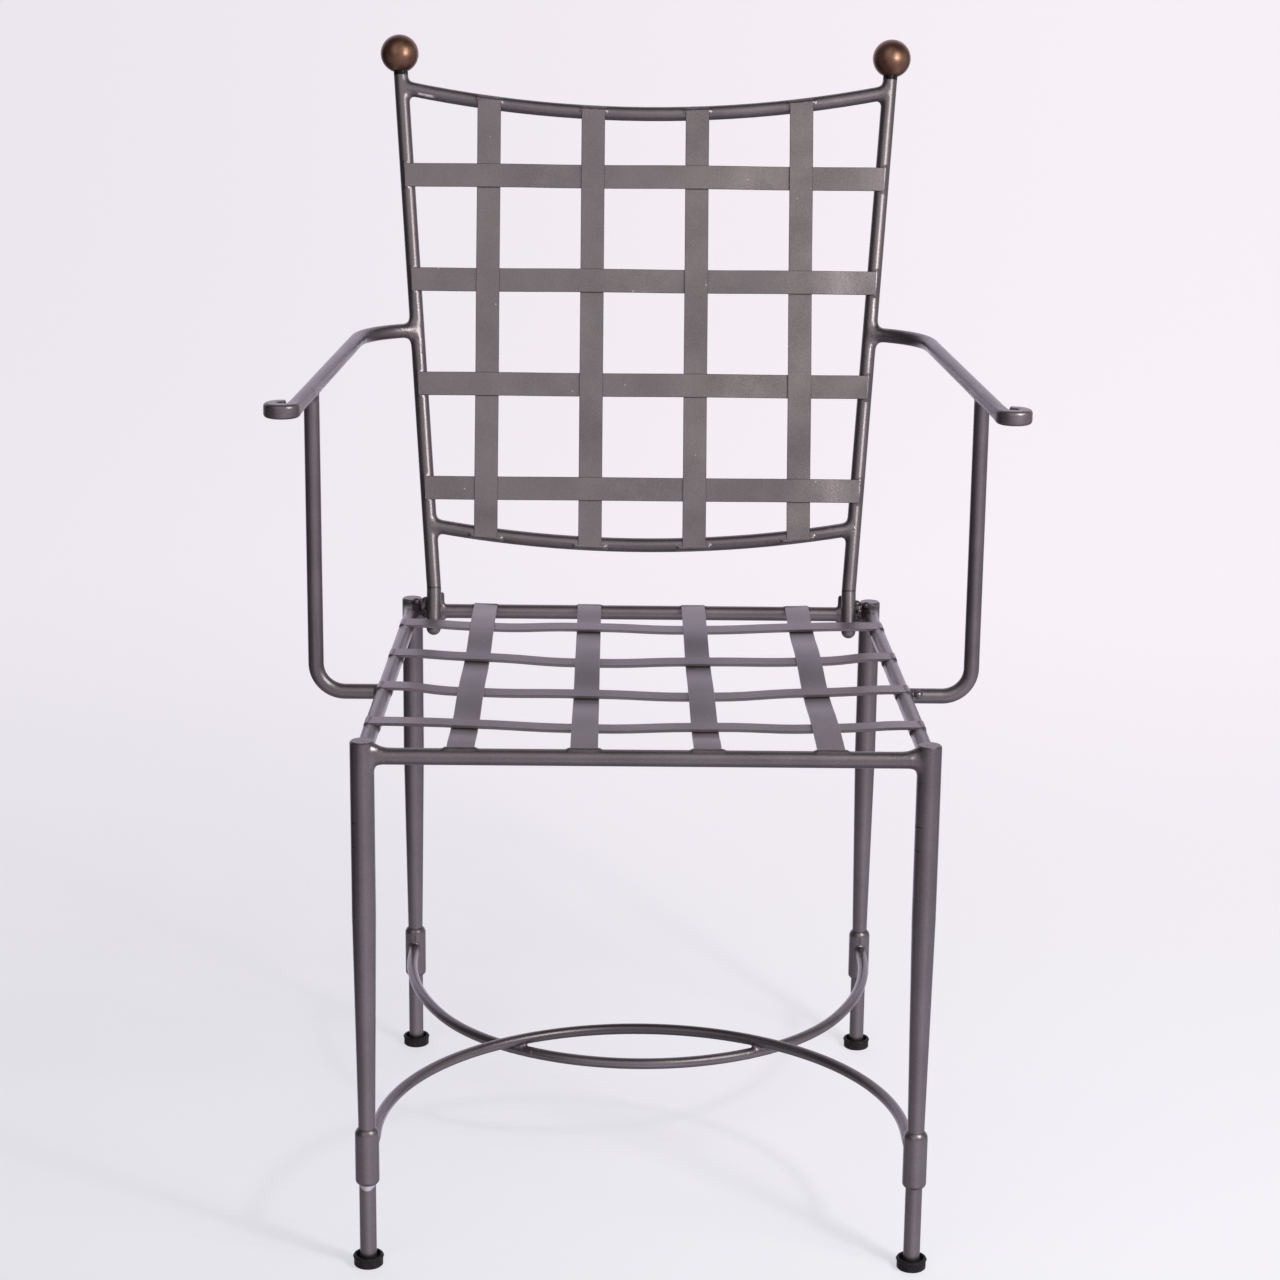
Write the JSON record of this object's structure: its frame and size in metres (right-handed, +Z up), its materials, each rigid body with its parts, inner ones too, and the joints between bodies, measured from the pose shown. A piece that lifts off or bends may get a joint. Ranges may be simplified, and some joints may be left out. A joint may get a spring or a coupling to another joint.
{
  "type": "patio armchair",
  "caption": "Welded rod patio armchair with a woven flat-strap seat and back, ball finials, level arms with curled tips, collared legs and bowed stretchers that cross.",
  "frame": {"origin": "on the floor, under the middle of the chair's overall box", "axes": "+Z up, +Y towards the back of the chair, +X to the right as seen from the front"},
  "size_m": [0.6038, 0.614, 0.948],
  "materials": {
    "frame_paint": "satin dark pewter paint on steel rod",
    "strap_paint": "satin dark pewter paint on flat steel bar",
    "weld_paint": "satin dark paint over rough weld",
    "finial_bronze": "antique bronze, satin",
    "stud_steel": "plain steel",
    "foot_rubber": "matt black-brown rubber"
  },
  "bodies": {
    "root": {"back_bottom_rail": "frame_paint", "back_cross_strap_1": "strap_paint", "back_cross_strap_2": "strap_paint", "back_cross_strap_3": "strap_paint", "back_cross_strap_4": "strap_paint", "back_strap_1": "strap_paint", "back_strap_2": "strap_paint", "back_strap_3": "strap_paint", "back_strap_4": "strap_paint", "back_top_rail": "frame_paint", "front_left_collar": "frame_paint", "front_left_foot_cap": "foot_rubber", "front_left_leg": "frame_paint", "front_left_peg": "frame_paint", "front_right_collar": "frame_paint", "front_right_foot_cap": "foot_rubber", "front_right_leg": "frame_paint", "front_right_peg": "frame_paint", "front_seat_rail": "frame_paint", "front_stretcher": "frame_paint", "left_arm": "frame_paint", "left_arm_post": "frame_paint", "left_back_stub": "frame_paint", "left_back_upright": "frame_paint", "left_back_weld": "weld_paint", "left_finial": "finial_bronze", "left_finial_stud": "stud_steel", "left_seat_rail": "frame_paint", "rear_left_collar": "frame_paint", "rear_left_foot_cap": "foot_rubber", "rear_left_leg": "frame_paint", "rear_left_peg": "frame_paint", "rear_right_collar": "frame_paint", "rear_right_foot_cap": "foot_rubber", "rear_right_leg": "frame_paint", "rear_right_peg": "frame_paint", "rear_seat_rail": "frame_paint", "rear_stretcher": "frame_paint", "right_arm": "frame_paint", "right_arm_post": "frame_paint", "right_back_stub": "frame_paint", "right_back_upright": "frame_paint", "right_back_weld": "weld_paint", "right_finial": "finial_bronze", "right_finial_stud": "stud_steel", "right_seat_rail": "frame_paint", "seat_cross_strap_1": "strap_paint", "seat_cross_strap_2": "strap_paint", "seat_cross_strap_3": "strap_paint", "seat_cross_strap_4": "strap_paint", "seat_strap_1": "strap_paint", "seat_strap_2": "strap_paint", "seat_strap_3": "strap_paint", "seat_strap_4": "strap_paint"}
  },
  "joints": []
}
